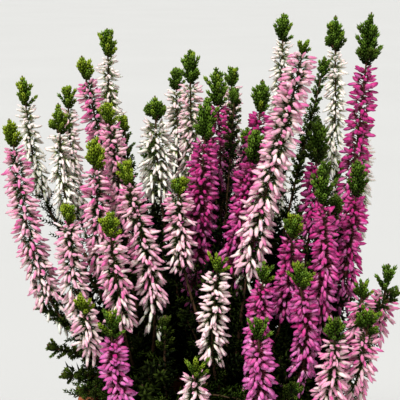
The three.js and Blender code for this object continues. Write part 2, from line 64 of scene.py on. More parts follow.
# Each plant: its flowers' colour, its root, how fresh the green of its tips is, from 0 to 1, its flower
# spikes and the tips of its leafy shoots. A spike's row is its tip, the foot of its flowers, the length of
# its green tip, its flowers' radius, how many side tips it has, and its depth of colour: 0 is pale, 1 deep.
PLANTS = {
    "pink_left": {"flower": "pink", "root": [-27, -13], "fresh": 0.96, "spikes": [
        [[-87, -5, 243], [-69, -18, 163], 14, 7.5, 0, 0.55],
        [[-55, 4, 270], [-41, 2, 212], 12, 6.5, 0, 0.75],
        [[-47, -20, 237], [-45, -24, 179], 15, 8, 1, 0.6],
        [[-33, -30, 229], [-18, -30, 167], 12, 8, 0, 0.45],
        [[-58, -32, 211], [-53, -32, 163], 10, 7.5, 1, 0.3],
        [[-40, -46, 210], [-35, -42, 160], 12, 8, 0, 0.45],
        [[-50, -60, 177], [-44, -51, 147], 10, 7, 0, 0.15],
        [[-44, -10, 251], [-36, -10, 196], 11, 6.5, 0, 0.55],
    ], "shoots": [[-68, -40, 150], [-61, -49, 140], [-76, -10, 160], [-37, 2, 244]]},
    "white_left": {"flower": "white", "root": [-24, 14], "fresh": 0.84, "spikes": [
        [[-83, 14, 260], [-72, 9, 206], 15, 6, 0, 0.1],
        [[-68, 10, 248], [-65, 5, 198], 15, 8, 1, 0.1],
        [[-45, 22, 281], [-43, 18, 220], 14, 6, 0, 0.15],
        [[-66, 38, 253], [-60, 30, 190], 12, 7, 0, 0.5],
        [[-46, 50, 252], [-40, 42, 192], 12, 8, 1, 0.1],
    ], "shoots": [[-77, 22, 158], [-64, 44, 146], [-50, 28, 160]]},
    "white_centre": {"flower": "white", "root": [-3, 22], "fresh": 0.64, "spikes": [
        [[-7, 26, 271], [-6, 20, 210], 17, 7.5, 1, 0.6],
        [[-23, 4, 252], [-22, 2, 207], 12, 8.5, 2, 0.1],
        [[13, 36, 262], [10, 28, 210], 10, 6, 0, 0.5],
        [[-14, 46, 261], [-12, 40, 203], 12, 8, 0, 0.2],
        [[-28, 66, 222], [-22, 52, 165], 12, 8, 0, 0.1],
    ], "shoots": [[-42, 62, 150], [-4, 8, 214], [-20, 20, 160]]},
    "magenta_centre": {"flower": "magenta", "root": [4, -3], "fresh": 0.6, "spikes": [
        [[1, -8, 253], [-2, -14, 166], 21, 8, 1, 0.65],
        [[5, 14, 264], [7, 8, 214], 19, 6.5, 0, 0.65],
        [[26, 8, 259], [21, 0, 212], 16, 6, 0, 0.9],
        [[23, -12, 239], [13, -16, 177], 16, 8, 0, 0.7],
    ], "shoots": [[-10, -24, 160], [13, -6, 257], [22, -4, 160]]},
    "pink_front": {"flower": "pink", "root": [12, -27], "fresh": 0.8, "spikes": [
        [[42, -22, 277], [23, -30, 180], 5, 9.5, 0, 0.45],
        [[-13, -25, 220], [-14, -27, 180], 8, 7.5, 1, 0.35],
        [[5, -54, 193], [3, -49, 147], 8, 7, 0, -0.3],
        [[-4, -70, 154], [-3, -55, 125], 10, 7, 0, 0.1],
    ], "shoots": [[10, -66, 130]]},
    "white_right": {"flower": "white", "root": [24, 21], "fresh": 0.62, "spikes": [
        [[36, 22, 288], [34, 18, 226], 14, 5.5, 0, 0.1],
        [[62, 40, 286], [60, 32, 213], 18, 6, 1, 0.1],
        [[76, 34, 236], [70, 24, 180], 10, 6.5, 0, 0.1],
        [[40, 56, 244], [34, 47, 184], 12, 8, 0, 0.1],
        [[68, 56, 214], [56, 46, 162], 12, 8, 0, 0.1],
    ], "shoots": [[54, 8, 269], [76, 44, 154], [74, 20, 158], [46, 30, 160]]},
    "magenta_right": {"flower": "magenta", "root": [38, 2], "fresh": 0.42, "spikes": [
        [[74, 6, 289], [62, -6, 187], 25, 8.7, 1, 0.9],
        [[50, -10, 244], [47, -14, 192], 21, 7, 1, 0.75],
        [[50, -30, 230], [47, -32, 164], 20, 7.5, 0, 0.7],
        [[67, -14, 226], [60, -18, 166], 17, 8, 1, 0.75],
    ], "shoots": [[53, -36, 212], [60, 8, 150]]},
    "pink_right": {"flower": "pink", "root": [37, -18], "fresh": 0.66, "spikes": [
        [[80, -24, 181], [73, -23, 147], 14, 7, 0, 0.8],
        [[67, -40, 178], [64, -36, 147], 8, 6, 0, 0.7],
        [[68, -56, 171], [57, -48, 128], 12, 8, 1, 0.6],
        [[51, -68, 171], [48, -55, 129], 11, 8, 1, 0.5],
    ], "shoots": [[84, -30, 172], [76, -2, 140]]},
    "magenta_front": {"flower": "magenta", "root": [19, -36], "fresh": 0.76, "spikes": [
        [[38, -36, 208], [33, -38, 161], 12, 7, 0, 0.6],
        [[27, -50, 188], [26, -46, 142], 9, 7, 0, 0.55],
        [[36, -52, 190], [36, -48, 142], 12, 8, 1, 0.5],
        [[21, -68, 171], [19, -57, 130], 11, 8.5, 0, 0.3],
    ], "shoots": [[45, -62, 140]]},
    "magenta_left": {"flower": "magenta", "root": [-18, -37], "fresh": 0.8, "spikes": [
        [[-41, -63, 174], [-32, -53, 126], 13, 8.5, 0, 0.3],
    ], "shoots": [[-54, -55, 136], [-22, -66, 132], [-17, -46, 165]]},
    "pink_back": {"flower": "pink", "root": [2, 41], "fresh": 0.64, "spikes": [
        [[-3, 72, 215], [-3, 60, 160], 12, 8, 0, 0.5],
        [[22, 72, 228], [17, 61, 170], 12, 8, 0, 0.6],
        [[50, 70, 188], [40, 57, 145], 10, 8, 0, 0.4],
    ], "shoots": [[-48, 66, 170], [-20, 76, 150], [18, 80, 146], [62, 54, 140]]},
}

# ---- sizes of the small things
# The buds of each colour. Loose is how far they stand out past the solid flowers, limp how much further down
# the low ones hang, in degrees, and faded the colour of those below the flowers.
BUDS = {
    "pink": Values(length=4.6, width=0.86, per_mm=3.7, loose=1.25, limp=0, uneven=0.24, faded="white"),
    "white": Values(length=4.6, width=0.78, per_mm=3.2, loose=1.17, limp=16, uneven=0.07, faded="white"),
    "magenta": Values(length=3.9, width=0.92, per_mm=4.1, loose=1.22, limp=0, uneven=0.2, faded="magenta"),
}
FULL = 8.0  # the reach of a spike whose buds are that large
LEVEL = 3.5  # buds stand in loose rings this far apart
START = [0.38, 0.23]  # how far out they start, from a spike's foot to its top, as a share of its reach
DEEPER = 0.4  # how much deeper their colour is at a spike's top than at its foot
YOUNG = Values(start=0.88, smaller=0.25)  # those at a spike's top
# how far they point above level: places from a spike's foot, 0, to its top, 1, and degrees there
DROOP = [[-0.2, 0, 0.12, 0.3, 0.6, 0.88, 1], [-70, -56, -42, -30, -16, 0, 18]]
STALK = Values(inside=0.3, down=0.6, into_bud=0.2, radius=0.2)
# the few buds below the flowers of the low long spikes: how far down they reach, and how many there are
TRAIL = Values(length=16, count=15, feet=[165, 200], flowered=[38, 50])
# the same for spikes deep in the bush that have more of them
LONG_TRAILS = {
    "magenta_centre_flowers_2": [48, 70], "magenta_centre_flowers_3": [26, 30],
    "magenta_front_flowers_2": [22, 26], "magenta_front_flowers_3": [22, 26],
    "magenta_right_flowers_3": [24, 26], "magenta_right_flowers_4": [20, 20],
}
# how much further out some spikes' buds start than the others'
SPLAYED = {f"magenta_centre_flowers_{number}": 1.4 for number in (1, 2, 3, 4)}
SPLAYED["white_centre_flowers_2"] = 1.75
# how many buds some spikes have for each one of the others of their colour
CROWDED = {
    "magenta_right_flowers_1": 0.7, "magenta_centre_flowers_1": 1.15, "magenta_centre_flowers_4": 1.2,
    "white_centre_flowers_2": 1.25, "pink_front_flowers_1": 0.86,
}

# Green tips are short leafy side shoots, close together. A tip is blunt or ends in a long point: how long its
# lowest shoots are, how far its upper ones draw in, how long its last one is, and how far that stands out.
BLUNT = Values(broad=1.0, inward=0.15, last=4.6, point=0)
POINTED = Values(broad=1.15, inward=0.75, last=7.5, point=3)
POINTED_SPIKES = {
    "white_left_flowers_1", "white_left_flowers_2", "white_centre_flowers_2", "white_right_flowers_2",
    "magenta_right_flowers_1", "magenta_centre_flowers_3", "pink_left_flowers_1", "pink_left_flowers_2",
}
FINGER = Values(width=1.24, per_mm=1.2, fewest=6, lean=44, top_lean=13)
OPEN_TIP = Values(below=205, count=0.72, lean=56, longer=1.15, thinner=0.9)  # those of the low spikes
SPIKE_TIP = Values(radius=4.3, per_mm=0.13, above=0.01)
FORK_TIP = Values(shown=0.8, start=0.6, radius=3.4)  # shown is its length as a share of the solid's
SHOOT_TIP = Values(length=8, radius=3.6, tall_radius=4.4)
TALL = 200  # a leafy shoot whose tip is above this stands in the light
SHADED = 0.2  # how light the tips of the low shoots are: darker, painted shade

# Leafy side shoots all along the stems: their size, how light they are, with those deep in the bush painted
# darker as painted shade, and where they are on a flowering stem and on a leafy shoot. Inner is how much
# larger they are inside the bush.
SPRIG = Values(length=9.5, width=1.75, per_mm=0.36, inner=1.25, light=0.25, flowering=[0.25, 0.99],
               leafy=[0.3, 0.9])
# those that stand close on tall shoots, and on stems this far beyond the middle
COMB = Values(length=5.5, width=1.6, per_mm=0.75, inner=1, light=0.25, flowering=[0.5, 1],
              leafy=[0.6, 1.6], beyond=68)
TWIG = Values(length=4.8, width=1.05, per_mm=0.9, inner=1, light=0.7, start=0.95)  # up on leafy shoots
TWIGS_FROM = {"magenta_centre": 1.4}  # where they start on one plant's
FROND = Values(length=10.5, width=1.5, per_mm=0.42, inner=1, light=0.48, leafy=[0.5, 1.98])  # over the rim
FILLER = Values(length=14, width=3.8, per_mm=0.34, inner=1, light=0.08, leafy=[0.15, 1.98])  # deep inside, painted very dark: painted shade
PAINTED_BUSH_SHADE = Values(start=25, over=30, light=[0.4, 1.3])  # painted shade: leaves inside the bush are painted darker, those outside lighter

# each plant's leafy shoots inside the bush, which rise higher the further back it stands
INNER = Values(count=10, low=[16, 30], high=[46, 122], from_front=[-30, 20], out=[4, 24], bend=4, within=61)
# those that lean out over the pot's rim, from the plants beyond this distance
SKIRT = Values(count=7, out=[56, 63], height=[100, 134], fan=0.9, arch=13, beyond=20)
# the stems' radii: places on a stem, and the radius there
THICKNESS = {
    "flowering": [[0, 0.5, 1, 2], [1.1, 0.8, 0.5, 0.36]],
    "leafy": [[0, 0.5, 1, 2], [1.0, 0.75, 0.5, 0.35]],
    "low": [[0, 2], [0.7, 0.35]],
    "fork": [[0, 2], [0.45, 0.35]],
}
SURFACE = 0.3  # side shoots start this far from a stem's middle

# ---- floor, light and camera
TARGET = Vector((-2.3, 0, 205)) * MM
CAMERA = Values(elevation=12, distance=520, field=19.83)
ROOM = Values(colour="#e8e8e6", strength=0.35, gamma=0.9)
LIGHTS = {
    "key": Values(strength=4.0, elevation=55, azimuth=-25, size=25),
    "fill": Values(strength=0.6, elevation=35, azimuth=60, size=60),
}


# ---- vectors
def unit(v):
    return v / norm(v, axis=-1, keepdims=True)


def mix(a, b, share):
    return a + (b - a) * share


def column(v):
    return np.asarray(v, float)[:, None]


def outward(angle):
    """The level direction at an angle."""
    return np.array([math.cos(angle), math.sin(angle), 0.0])


def across(along):
    """Two directions across each direction, the first as near to +X as it can be."""
    side = unit(RIGHT - along * along[:, :1])
    return side, np.cross(along, side)


def leaning(start, toward, degrees):
    """Directions that lean by these degrees from one direction towards another square to it."""
    lean = np.radians(degrees)
    return start * column(np.cos(lean)) + toward * column(np.sin(lean))


def axes_along(directions, twist):
    """A frame for each direction: two directions across it, turned by twist, and itself."""
    helper = np.where(np.abs(directions[:, 2:]) < 0.9, UP, RIGHT)
    side = unit(np.cross(helper, directions))
    turned = side * column(np.cos(twist)) + np.cross(directions, side) * column(np.sin(twist))
    return np.stack([turned, np.cross(directions, turned), directions], axis=1)


# ---- the spikes, as in the part's source
def random_numbers(seed):
    """Numbers from 0 to 1, the same as in the part's source."""
    state = seed
    while True:
        state = (state * 1664525 + 1013904223) % 2**32
        yield state / 2**32


def make_spikes():
    """Every flower spike and leafy shoot of the bush, before they are spread."""
    random = random_numbers(SEED.spikes)
    spikes = []

    def root_of(x, y):
        share = mix(*TRUNK.stems, next(random))
        return np.array([x, y, SOIL.top + TRUNK.height * share])

    for plant, row in PLANTS.items():
        for number, (tip, foot, green, reach, forks, depth) in enumerate(row["spikes"], 1):
            fork_angle = TURN * next(random)
            spikes.append({
                "plant": plant, "flower": row["flower"], "name": f"{plant}_flowers_{number}",
                "root": root_of(*row["root"]), "foot": np.array(foot, float), "tip": np.array(tip, float),
                "green": green, "reach": reach, "forks": forks, "fork_angle": fork_angle, "depth": depth,
            })
        for tip in row["shoots"]:
            root, tip = root_of(*row["root"]), np.array(tip, float)
            foot = mix(root, tip, SHOOT.foot) + UP * SHOOT.rise
            shoot = {"plant": plant, "flower": None, "root": root, "foot": foot, "tip": tip}
            spikes.append({**shoot, "green": 0, "reach": 0})
    return spikes


def stem_points(spike, at):
    """The points at these places on a stem: two smooth curves that meet at the foot of its flowers."""
    root, foot, tip = spike["root"], spike["foot"], spike["tip"]
    low, high = unit(foot - root), unit(tip - foot)
    leaving, passing, ending = unit(low + UP), unit(low + high), unit(high + STEM.upturn * UP)
    at = column(at)
    lower = at < 1
    start, end = np.where(lower, root, foot), np.where(lower, foot, tip)
    length = norm(end - start, axis=1, keepdims=True)
    t = np.where(lower, at, at - 1)
    return (
        start * (1 + 2 * t) * (1 - t) ** 2
        + end * t * t * (3 - 2 * t)
        + np.where(lower, leaving, passing) * length * t * (1 - t) ** 2
        + np.where(lower, passing, ending) * length * t * t * (t - 1)
    )


def stem_frames(spike, at):
    """At places on a stem: its points, its direction there, and two directions across it."""
    at = np.asarray(at, float)
    above, below = np.minimum(at + 0.01, 2), np.maximum(at - 0.01, 0)
    along = unit(stem_points(spike, above) - stem_points(spike, below))
    return stem_points(spike, at), along, *across(along)


def round_stem(spike, at, uneven, random):
    """Places up a stem, each turned from the last: their points, the stem's direction and the ways out."""
    centre, along, side, other = stem_frames(spike, at)
    angle = GOLDEN * np.arange(len(at)) + random.normal(0, uneven, len(at))
    return centre, along, side * column(np.cos(angle)) + other * column(np.sin(angle))


def lengths_of(spike):
    return norm(spike["foot"] - spike["root"]), norm(spike["tip"] - spike["foot"])


def top_of_flowers(spike):
    return 2 - spike["green"] / lengths_of(spike)[1]


def spread(spikes):
    """Moves spikes apart a little at a time until their flowers are clear of each other."""
    plant = np.repeat([list(PLANTS).index(s["plant"]) for s in spikes], len(SAMPLES))
    owner = np.repeat(np.arange(len(spikes)), len(SAMPLES))
    at = np.tile(SAMPLES, len(spikes))
    for_foot = column(np.where(at < 1, at, 2 - at))
    for_tip = column(np.maximum(0, at - 1))
    far_apart = 1e6
    own_spike = (owner[:, None] == owner[None]) * far_apart
    for _ in range(SPREAD.rounds):
        points = np.concatenate([stem_points(s, SAMPLES) for s in spikes])
        reach, flowery = [], []
        for s in spikes:
            in_flowers = bool(s["flower"]) & (SAMPLES >= 1) & (SAMPLES <= top_of_flowers(s))
            leafy = LEAVES_OUT.whorls if s["flower"] else LEAVES_OUT.top
            lower = np.where(SAMPLES < LEAVES_OUT.start, STEM.radius, leafy)
            own = np.where(SAMPLES >= 1, LEAVES_OUT.top, lower)
            reach.append(np.where(in_flowers, s["reach"], own))
            flowery.append(in_flowers)
        reach, flowery = np.concatenate(reach), np.concatenate(flowery)
        apart = points[:, None] - points[None]
        distance = norm(apart, axis=2) + own_spike
        lacking = reach[:, None] + reach[None] + SPREAD.clear - distance
        counted = (plant[:, None] != plant[None]) | flowery[:, None] | flowery[None]
        push = np.where((lacking > 0) & counted, SPREAD.step * lacking / distance, 0)
        moved = (apart * push[:, :, None]).sum(1)
        for i, s in enumerate(spikes):
            own = owner == i
            s["foot"] += (moved * for_foot)[own].sum(0) * SPREAD.weights
            s["tip"] += (moved * for_tip)[own].sum(0) * SPREAD.weights


# ---- small closed shapes
# A shape is its corners, its triangles, and where each corner is from its base to its tip. Z runs along it
# from 0 to 1, and its width is about 1 each way from the middle.
def tube_quads(rings, sides):
    """The four-sided faces between rings of corners."""
    starts = range(0, (rings - 1) * sides, sides)
    pairs = [(start + i, start + (i + 1) % sides) for start in starts for i in range(sides)]
    return [(a, b, b + sides, a + sides) for a, b in pairs]


def tube_faces(rings, sides):
    """The same faces, each cut into two triangles."""
    return [half for a, b, c, d in tube_quads(rings, sides) for half in ([a, b, c], [a, c, d])]


def base_faces(sides):
    """Triangles that close the first ring."""
    return [[0, i + 1, i] for i in range(1, sides - 1)]


def point_faces(rings, sides):
    """Triangles from the last ring to one corner after it."""
    last = (rings - 1) * sides
    return [(last + i, last + (i + 1) % sides, last + sides) for i in range(sides)]


def bud_shape():
    """A closed bud: sepals folded to a blunt point, with a groove where each meets the next."""
    sides, groove = 6, 0.84
    rings = [(0, 0.5), (0.32, 1), (0.76, 0.76)]
    corners, along = [], []
    for height, radius in rings:
        for i in range(sides):
            pinched = radius * (groove if i % 2 else 1)
            corners.append(outward(TURN * i / sides) * pinched + UP * height)
            along.append(height)
    faces = tube_faces(len(rings), sides) + point_faces(len(rings), sides) + base_faces(sides)
    return np.array([*corners, UP]), np.array(faces), np.array([*along, 1])


def joined(shapes):
    """Several shapes as one."""
    corners, faces, along = zip(*shapes)
    starts = np.cumsum([0] + [len(c) for c in corners])
    faces = [own + start for own, start in zip(faces, starts)]
    return np.concatenate(corners), np.concatenate(faces), np.concatenate(along)


def leaf_shape(base, tip, out, width, bulge):
    """A small thick pointed leaf with a keel on its outer side: out is the way it faces."""
    side = unit(np.cross(tip - base, out))
    middle = mix(base, tip, 0.45)
    corners = [base, middle - side * width, middle + out * bulge, middle + side * width, tip]
    faces = [[0, 2, 1], [0, 3, 2], [0, 1, 3], [4, 1, 2], [4, 2, 3], [4, 3, 1]]
    return np.array(corners), np.array(faces), np.array([0, 0.45, 0.5, 0.45, 1])


def needle_shape(base, tip, out, width):
    """A small pointed leaf, widest at its base: a long three-sided pyramid."""
    side = unit(np.cross(tip - base, out))
    corners = [base - side * width, base + out * width, base + side * width, tip]
    faces = [[0, 2, 1], [0, 1, 3], [1, 2, 3], [2, 0, 3]]
    return np.array(corners), np.array(faces), np.array([0, 0, 0, 1])


def calyx_shape():
    """Small green leaves that stand round a bud's stalk and lean out."""
    count, low, high, inside, reach, width = 3, -0.2, 0.26, 0.25, 1.05, 0.42
    outs = [outward(TURN * i / count) for i in range(count)]
    return joined(needle_shape(o * inside + UP * low, o * reach + UP * high, o, width) for o in outs)


def stalk_shape():
    """A thin three-sided stalk from 0 to 1."""
    corners = [outward(TURN * i / 3) + UP * z for z in (0, 1) for i in range(3)]
    return np.array(corners), np.array(tube_faces(2, 3)), np.array([0, 0, 0, 1, 1, 1])


def leaf_places(levels, rows, upto):
    """How high each leaf of a shoot starts and its way out, each ring turned by half a step from the last."""
    return [
        (upto * level / levels, outward(TURN * (row + 0.5 * (level % 2)) / rows))
        for level in range(levels) for row in range(rows)
    ]


def shoot_shape(levels, rows=4):
    """A short shoot closely covered by small pointed leaves, with one more at its end."""
    upto, inside, reach, width, bulge, narrowing, overlap = 0.84, 0.12, 0.78, 0.6, 0.56, 0.2, 1.25
    parts = []
    for low, out in leaf_places(levels, rows, upto):
        taper = 1 - narrowing * low
        tip = out * reach * taper + UP * (low + overlap / levels)
        base = out * inside + UP * low
        corners, faces, along = leaf_shape(base, tip, out, width * taper, bulge * taper)
        parts.append((corners, faces, low * 0.6 + along * 0.4))
    return joined([*parts, leaf_shape(UP * 0.7, UP * 1.04, RIGHT, 0.42, 0.42)])


def sprig_shape(levels=6, rows=3):
    """A longer, looser shoot with narrow pointed leaves."""
    upto, width, narrowing, rise = 0.88, 0.3, 0.45, 0.15
    parts = []
    for low, out in leaf_places(levels, rows, upto):
        tip = out * (1 - narrowing * low**2) + UP * (low + rise)
        corners, faces, along = needle_shape(UP * low, tip, out, width)
        parts.append((corners, faces, 0.3 * low + along * 0.5))
    return joined(parts)


BUD_SHAPE = bud_shape()
CALYX_SHAPE = calyx_shape()
STALK_SHAPE = stalk_shape()
FINGER_SHAPE = shoot_shape(4)
TWIG_SHAPE = shoot_shape(4, 3)
SPRIG_SHAPE = sprig_shape()
FILLER_SHAPE = sprig_shape(5)


# ---- one piece's mesh
def add_object(name, data):
    made = bpy.data.objects.new(name, data)
    bpy.context.scene.collection.objects.link(made)
    return made


def mesh_object(name, corners, faces, materials):
    mesh = bpy.data.meshes.new(name)
    mesh.from_pydata((np.array(corners) * MM).tolist(), [], faces)
    mesh.polygons.foreach_set("use_smooth", np.ones(len(mesh.polygons), bool))
    for material in materials:
        mesh.materials.append(material)
    return add_object(name, mesh)


class Growth:
    """Gathers copies of shapes, and tubes, for one piece.

    Materials read three values at each corner: along, from its shape's base to its tip, tint, one number for
    each copy, and above, how far it is above or below its copy's middle.
    """

    def __init__(self):
        self.corners, self.faces, self.slots, self.materials = [], [], [], []
        self.values = {"along": [], "tint": [], "above": []}
        self.count = 0

    def add(self, corners, faces, material, **values):
        if material not in self.materials:
            self.materials.append(material)
        self.corners.append(corners)
        self.faces.append(faces + self.count)
        self.slots.append(np.full(len(faces), self.materials.index(material)))
        for name, value in values.items():
            self.values[name].append(value)
        self.count += len(corners)

    def stamp(self, shape, places, axes, widths, lengths, tint, material):
        """A copy of the shape at each place."""
        corners, faces, along = shape
        sizes = np.stack([widths, widths, lengths], axis=1)
        copies = np.einsum("kc,nc,ncx->nkx", corners, sizes, axes) + places[:, None]
        count, each = len(places), len(corners)
        all_faces = (faces[None] + each * np.arange(count)[:, None, None]).reshape(-1, 3)
        above = np.einsum("kc,nc->nk", corners[:, :2], axes[:, :2, 2]).ravel()
        values = {"along": np.tile(along, count), "tint": np.repeat(tint, each), "above": above}
        self.add(copies.reshape(-1, 3), all_faces, material, **values)

    def tube(self, centres, radii, sides, material, wobble=None):
        """A closed tube through these points."""
        side, other = across(unit(np.gradient(centres, axis=0)))
        angles = TURN * np.arange(sides) / sides
        around = side[:, None] * np.cos(angles)[:, None] + other[:, None] * np.sin(angles)[:, None]
        size = column(radii)[:, :, None] * (1 if wobble is None else wobble[:, :, None])
        corners = (centres[:, None] + around * size).reshape(-1, 3)
        rings = len(centres)
        last = (rings - 1) * sides
        faces = tube_faces(rings, sides) + base_faces(sides)
        faces += [[last, last + i, last + i + 1] for i in range(1, sides - 1)]
        share, none = np.repeat(np.linspace(0, 1, rings), sides), np.zeros(len(corners))
        self.add(corners, np.array(faces), material, along=share, tint=none, above=none)

    def piece(self, name):
        """The gathered shapes as one object that rides with the pot."""
        faces = np.concatenate(self.faces).tolist()
        made = mesh_object(name, np.concatenate(self.corners), faces, self.materials)
        made.data.polygons.foreach_set("material_index", np.concatenate(self.slots).astype(np.int32))
        for kind, values in self.values.items():
            attribute = made.data.attributes.new(kind, "FLOAT", "POINT")
            attribute.data.foreach_set("value", np.concatenate(values).astype(np.float32))
        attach(made, "root")
        return made


# ---- materials
def colour(code):
    """A hexadecimal colour as the shader's linear numbers."""
    parts = [int(code[i : i + 2], 16) / 255 for i in (1, 3, 5)]
    return [p / 12.92 if p <= 0.04045 else ((p + 0.055) / 1.055) ** 2.4 for p in parts] + [1]


class Shader:
    """A material's nodes, made and linked by short calls."""

    def __init__(self, name, roughness, specular=0.4):
        self.material = bpy.data.materials.new(name)
        self.material.use_nodes = True
        self.tree = self.material.node_tree
        self.surface = self.tree.nodes["Principled BSDF"]
        self.surface.inputs["Roughness"].default_value = roughness
        self.surface.inputs["Specular IOR Level"].default_value = specular

    def node(self, kind, **settings):
        made = self.tree.nodes.new(kind)
        for name, value in settings.items():
            if name in made.inputs:
                self.put(made.inputs[name], value)
            else:
                setattr(made, name, value)
        return made

    def put(self, socket, value):
        if isinstance(value, bpy.types.NodeSocket):
            self.tree.links.new(value, socket)
        else:
            socket.default_value = value

    def attribute(self, name):
        return self.node("ShaderNodeAttribute", attribute_name=name).outputs["Fac"]

    def position(self):
        return self.node("ShaderNodeTexCoord").outputs["Object"]

    def ramp(self, factor, stops):
        made = self.node("ShaderNodeValToRGB")
        self.put(made.inputs["Fac"], factor)
        elements = made.color_ramp.elements
        while len(elements) < len(stops):
            elements.new(0.5)
        for element, (place, code) in zip(elements, stops):
            element.position = place
            element.color = colour(code)
        return made.outputs["Color"]

    def blend(self, factor, first, second, kind="MIX"):
        made = self.node("ShaderNodeMix", data_type="RGBA", blend_type=kind)
        self.put(made.inputs[0], factor)
        self.put(made.inputs[6], first)
        self.put(made.inputs[7], second)
        return made.outputs[2]

    def noise(self, scale, detail=3.0, roughness=0.55, stretch=None):
        place = self.position()
        if stretch:
            place = self.node("ShaderNodeMapping", Scale=stretch, Vector=place).outputs["Vector"]
        settings = {"Scale": scale, "Detail": detail, "Roughness": roughness, "Vector": place}
        return self.node("ShaderNodeTexNoise", **settings).outputs["Fac"]

    def remap(self, value, low, high, to_low=0.0, to_high=1.0):
        ends = {"From Min": low, "From Max": high, "To Min": to_low, "To Max": to_high}
        return self.node("ShaderNodeMapRange", Value=value, **ends).outputs["Result"]

    def wander(self, noise, low, high):
        """A number that goes from low to high with the noise."""
        return self.remap(noise, 0.3, 0.7, low, high)

    def mottle(self, base, scale, low, high):
        """The colour with darker and lighter patches."""
        return self.blend(1.0, base, self.wander(self.noise(scale), low, high), "MULTIPLY")

    def calculate(self, operation, *values, **settings):
        made = self.node("ShaderNodeMath", operation=operation, **settings)
        for socket, value in zip(made.inputs, values):
            self.put(socket, value)
        return made.outputs["Value"]

    def bump(self, height, strength, distance):
        made = self.node("ShaderNodeBump", Strength=strength, Distance=distance, Height=height)
        self.put(self.surface.inputs["Normal"], made.outputs["Normal"])

    def finish(self, base, roughness=None):
        self.put(self.surface.inputs["Base Color"], base)
        if roughness is not None:
            self.put(self.surface.inputs["Roughness"], roughness)
        return self.material


def petal_material(name, pale, deep):
    """Sepals: greenish at the base and deeper at the tip, some buds deeper than others, and painted light on
    each bud: deeper on top, paler underneath.
    """
    shader = Shader(name, 0.45, 0.25)
    along = shader.attribute("along")
    # painted light: the colour is deeper on each bud's top and paler underneath, by its height on the bud
    painted_light_by_height = shader.remap(shader.attribute("above"), -0.7, 0.5, -0.5, 0.12)
    depth = shader.calculate("ADD", shader.attribute("tint"), painted_light_by_height, use_clamp=True)
    base = shader.blend(depth, shader.ramp(along, pale), shader.ramp(along, deep))
    for name, value in (("Weight", 0.18), ("Radius", (1.0, 0.6, 0.6)), ("Scale", 0.0006)):
        shader.surface.inputs[f"Subsurface {name}"].default_value = value
    shader.bump(shader.noise(1500, 2.0), 0.25, 0.0002)
    return shader.finish(shader.mottle(base, 700, 0.86, 1.1), shader.wander(shader.noise(400), 0.36, 0.52))


def leaf_material(name, dull_and_shaded, fresh, hues=None):
    """Small leaves: dark where they leave the stem, fresher at their tips, and tinged by the hues; for the
    leaves, the dark base is partly painted shade and the pale tip partly painted highlight.
    """
    shader = Shader(name, 0.65, 0.08)
    along, tint = shader.attribute("along"), shader.attribute("tint")
    base = shader.blend(tint, shader.ramp(along, dull_and_shaded), shader.ramp(along, fresh))
    if hues:
        base = shader.blend(1.0, base, shader.ramp(tint, hues), "MULTIPLY")
    shader.bump(shader.noise(1200, 2.0), 0.3, 0.0002)
    return shader.finish(shader.mottle(base, 500, 0.8, 1.15), shader.wander(shader.noise(600), 0.5, 0.7))


def bark_material():
    """Woody stems: brown and ridged low down, greener towards the tip."""
    shader = Shader("bark", 0.75)
    grain = shader.noise(900, 4.0, 0.6, (1, 1, 0.25))
    brown = shader.ramp(grain, [(0.25, "#2b1c12"), (0.6, "#5b3d26"), (0.85, "#7b5c3d")])
    green = shader.ramp(grain, [(0.3, "#3a2c18"), (0.8, "#6a5530")])
    base = shader.blend(shader.remap(shader.attribute("along"), 0.5, 1.1), brown, green)
    shader.bump(grain, 0.6, 0.0004)
    return shader.finish(base)


def clay_material():
    """Fired clay: even and chalky, with darker flecks, and pale bloom low down."""
    shader = Shader("terracotta", 0.85, 0.25)
    cloud = shader.noise(14, 5.0, 0.6)
    base = shader.ramp(cloud, [(0.3, "#a9603f"), (0.55, "#b96f4c"), (0.75, "#c4805d")])
    flecks = shader.remap(shader.noise(900, 2.0), 0.34, 0.42)
    base = shader.blend(flecks, colour("#8a4a30"), base)
    height = shader.node("ShaderNodeSeparateXYZ", Vector=shader.position()).outputs["Z"]
    bloom_edge = shader.calculate("MULTIPLY_ADD", shader.noise(32, 6.0, 0.65), 0.09, height)
    bloom = shader.remap(bloom_edge, 0.055, 0.085, 0.3, 0.0)
    rings, grit = shader.noise(60, 3.0, 0.5, (0.15, 0.15, 14)), shader.noise(1600, 3.0)
    shader.bump(shader.calculate("ADD", rings, grit), 0.3, 0.0004)
    return shader.finish(shader.blend(bloom, base, colour("#d8b8a2")), shader.wander(cloud, 0.78, 0.92))


def soil_material():
    """Moist potting compost: dark brown crumbs and lighter fibres."""
    shader = Shader("compost", 0.95, 0.2)
    crumbs = shader.noise(420, 6.0, 0.7)
    base = shader.ramp(crumbs, [(0.3, "#17100b"), (0.52, "#2f2118"), (0.7, "#4a3627"), (0.85, "#6d543d")])
    shader.bump(crumbs, 0.9, 0.0015)
    return shader.finish(base)


PETALS = {
    "pink": petal_material(
        "pink_petals",
        [(0, "#cfcda4"), (0.16, "#f2eadc"), (0.5, "#f4e2de"), (1, "#efc2cf")],
        [(0, "#d8b8a6"), (0.16, "#e8a4c0"), (0.5, "#da6ca6"), (1, "#c44c8c")],
    ),
    "white": petal_material(
        "white_petals",
        [(0, "#c3ca96"), (0.16, "#e9ead6"), (0.6, "#f7f6ec"), (1, "#f1efe0")],
        [(0, "#cfc9a4"), (0.16, "#efdfd6"), (0.55, "#eab9c6"), (1, "#d983a8")],
    ),
    "magenta": petal_material(
        "magenta_petals",
        [(0, "#c9a7a0"), (0.14, "#ecb8d8"), (0.5, "#dd8ac4"), (1, "#c65aa8")],
        [(0, "#b06a80"), (0.12, "#d85a9e"), (0.5, "#c22c82"), (1, "#981a5e")],
    ),
}
